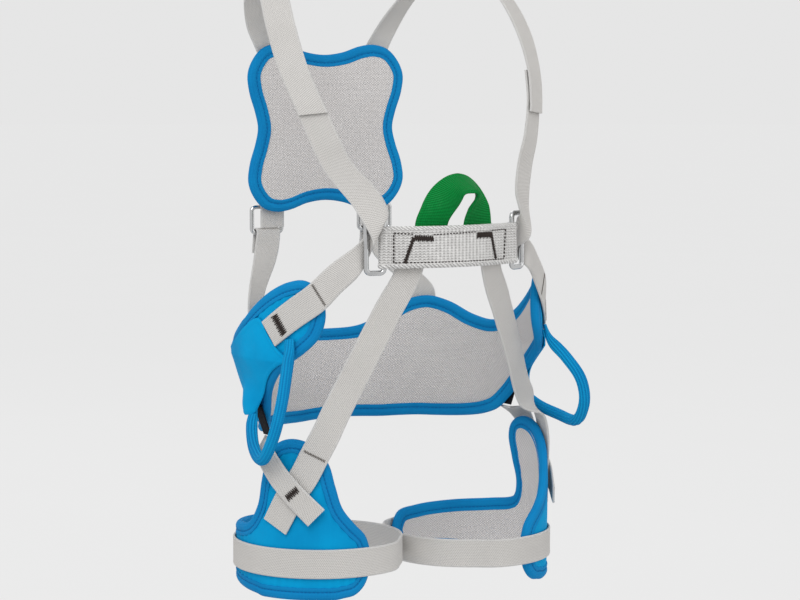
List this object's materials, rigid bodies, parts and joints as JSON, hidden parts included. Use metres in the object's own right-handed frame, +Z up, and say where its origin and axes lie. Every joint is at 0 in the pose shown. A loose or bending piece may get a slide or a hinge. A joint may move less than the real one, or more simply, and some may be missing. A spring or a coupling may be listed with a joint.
{
  "type": "full body climbing harness",
  "caption": "Child's full body climbing harness in worn form: padded belt, back plate and leg pads joined by webbing straps, a front band with a tie-in loop and gear loops at the hips.",
  "frame": {"origin": "middle of the wearer's waist, inside the belt at the level of the belt's middle behind", "axes": "+Z up along the wearer's trunk, -Y towards the wearer's front, where the tie-in loop is, +X towards the wearer's left"},
  "size_m": [0.2744, 0.2188, 0.4635],
  "materials": {
    "webbing": "pale grey flat-woven polyester webbing with fine cross ribs, matt",
    "tie_in_webbing": "green thick woven webbing, matt",
    "mesh": "warm grey spacer mesh with small pores over foam, matt",
    "panel": "bright blue plain-woven cloth, slightly satin",
    "binding": "blue stretch binding rolled over the edge, matt",
    "gear_cord": "blue ribbed woven sleeve over a stiff core, matt",
    "tape": "black narrow woven tape, matt",
    "thread": "dark brown sewing thread in bar tacks and rows",
    "ring_wire": "bright smooth steel wire, a little worn"
  },
  "bodies": {
    "root": {"front_band": "webbing", "tie_in_loop": "tie_in_webbing", "belt_pad": "mesh", "belt_cover": "panel", "belt_binding": "binding", "back_pad": "mesh", "back_cover": "panel", "back_binding": "binding", "ring_left": "ring_wire", "chest_strap_left": "webbing", "shoulder_strap_left": "webbing", "back_buckle_left": "ring_wire", "rear_strap_left": "webbing", "hip_cover_left": "panel", "hip_tab_left": "tape", "gear_loop_left": "gear_cord", "leg_pad_left": "mesh", "leg_cover_left": "panel", "leg_binding_left": "binding", "leg_strap_left": "webbing", "riser_left": "webbing", "side_strap_left": "webbing", "ring_right": "ring_wire", "chest_strap_right": "webbing", "shoulder_strap_right": "webbing", "back_buckle_right": "ring_wire", "rear_strap_right": "webbing", "hip_cover_right": "panel", "hip_tab_right": "tape", "gear_loop_right": "gear_cord", "leg_pad_right": "mesh", "leg_cover_right": "panel", "leg_binding_right": "binding", "leg_strap_right": "webbing", "riser_right": "webbing", "side_strap_right": "webbing"}
  },
  "joints": []
}
